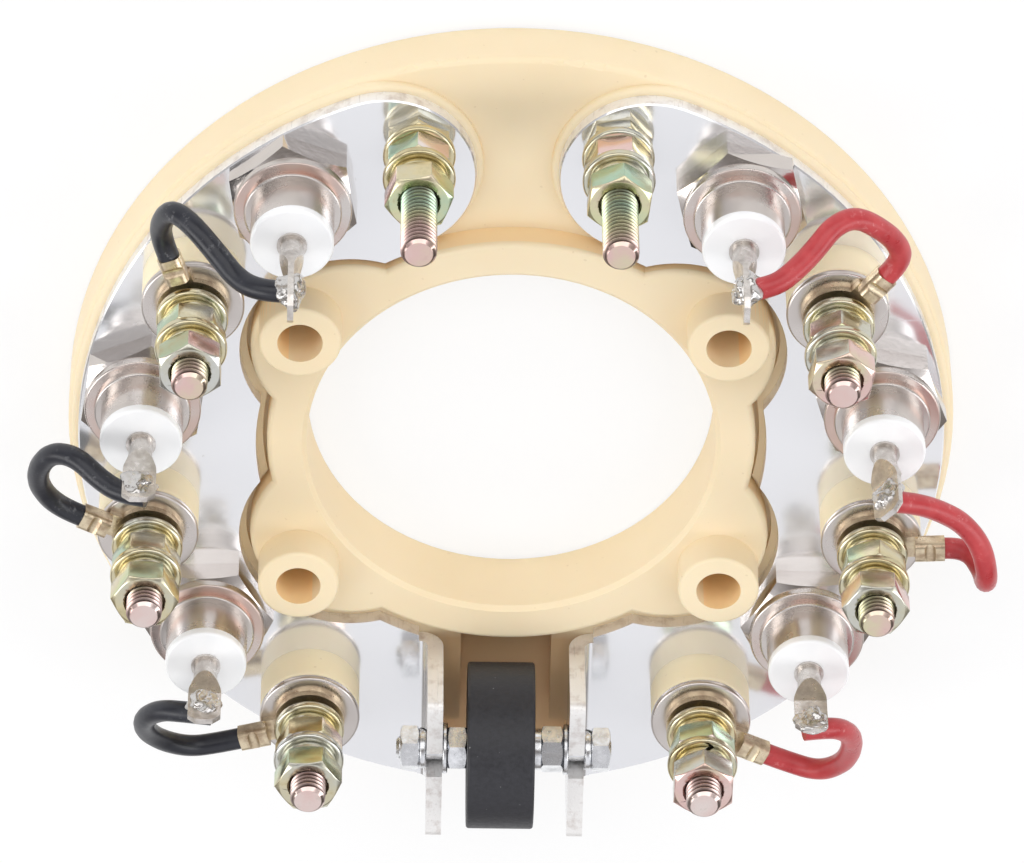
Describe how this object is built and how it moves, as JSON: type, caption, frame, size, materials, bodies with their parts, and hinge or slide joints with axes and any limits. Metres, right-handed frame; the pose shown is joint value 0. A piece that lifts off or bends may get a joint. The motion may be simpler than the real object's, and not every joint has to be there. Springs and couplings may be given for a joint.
{
  "type": "rectifier module",
  "caption": "Rotating ring rectifier: two half-ring heat sinks with stud diodes, phase bolts and output studs on a moulded ring, with a disc varistor bridging them.",
  "frame": {"origin": "centre of the bore on the ring's back face", "axes": "+Z along the bore axis towards the side with the diodes and studs, +Y from the varistor towards the two output studs, +X towards the half with red leads"},
  "size_m": [0.1631, 0.15, 0.0482],
  "materials": {
    "moulded_ring": "moulded beige glass-filled plastic, satin",
    "bright_plate": "nickel plated, mirror bright",
    "nickel": "nickel plated, smooth",
    "tinned_lug": "tinned, with rough solder",
    "zinc_yellow": "yellow passivated zinc on steel, iridescent",
    "white_ceramic": "white glazed insulator",
    "copper_terminal": "tinned copper, worn at the crimp",
    "black_insulation": "soft black insulation, semi gloss",
    "red_insulation": "soft red insulation, semi gloss",
    "varistor_coat": "matt black coating",
    "bright_zinc": "bright zinc plated steel"
  },
  "bodies": {
    "root": {"hub_ring": "moulded_ring", "heat_sink_left": "bright_plate", "heat_sink_right": "bright_plate", "diode_case_1": "nickel", "diode_insulator_1": "white_ceramic", "diode_terminal_1": "tinned_lug", "bush_1": "moulded_ring", "ring_terminal_1": "copper_terminal", "lead_1": "black_insulation", "diode_case_2": "nickel", "diode_insulator_2": "white_ceramic", "diode_terminal_2": "tinned_lug", "bush_2": "moulded_ring", "ring_terminal_2": "copper_terminal", "lead_2": "black_insulation", "diode_case_3": "nickel", "diode_insulator_3": "white_ceramic", "diode_terminal_3": "tinned_lug", "bush_3": "moulded_ring", "ring_terminal_3": "copper_terminal", "lead_3": "black_insulation", "diode_case_4": "nickel", "diode_insulator_4": "white_ceramic", "diode_terminal_4": "tinned_lug", "bush_4": "moulded_ring", "ring_terminal_4": "copper_terminal", "lead_4": "red_insulation", "diode_case_5": "nickel", "diode_insulator_5": "white_ceramic", "diode_terminal_5": "tinned_lug", "bush_5": "moulded_ring", "ring_terminal_5": "copper_terminal", "lead_5": "red_insulation", "diode_case_6": "nickel", "diode_insulator_6": "white_ceramic", "diode_terminal_6": "tinned_lug", "bush_6": "moulded_ring", "ring_terminal_6": "copper_terminal", "lead_6": "red_insulation", "diode_washers": "nickel", "diode_nuts": "nickel", "large_washers": "nickel", "flat_washers": "zinc_yellow", "spring_washers": "zinc_yellow", "nuts": "zinc_yellow", "thin_nuts": "zinc_yellow", "phase_bolts": "zinc_yellow", "output_bolt_left": "zinc_yellow", "output_bolt_right": "zinc_yellow", "varistor_body": "varistor_coat", "varistor_stud_left": "bright_zinc", "varistor_stud_right": "bright_zinc", "varistor_flat_washers": "bright_zinc", "varistor_spring_washers": "bright_zinc", "varistor_nuts": "bright_zinc"}
  },
  "joints": []
}
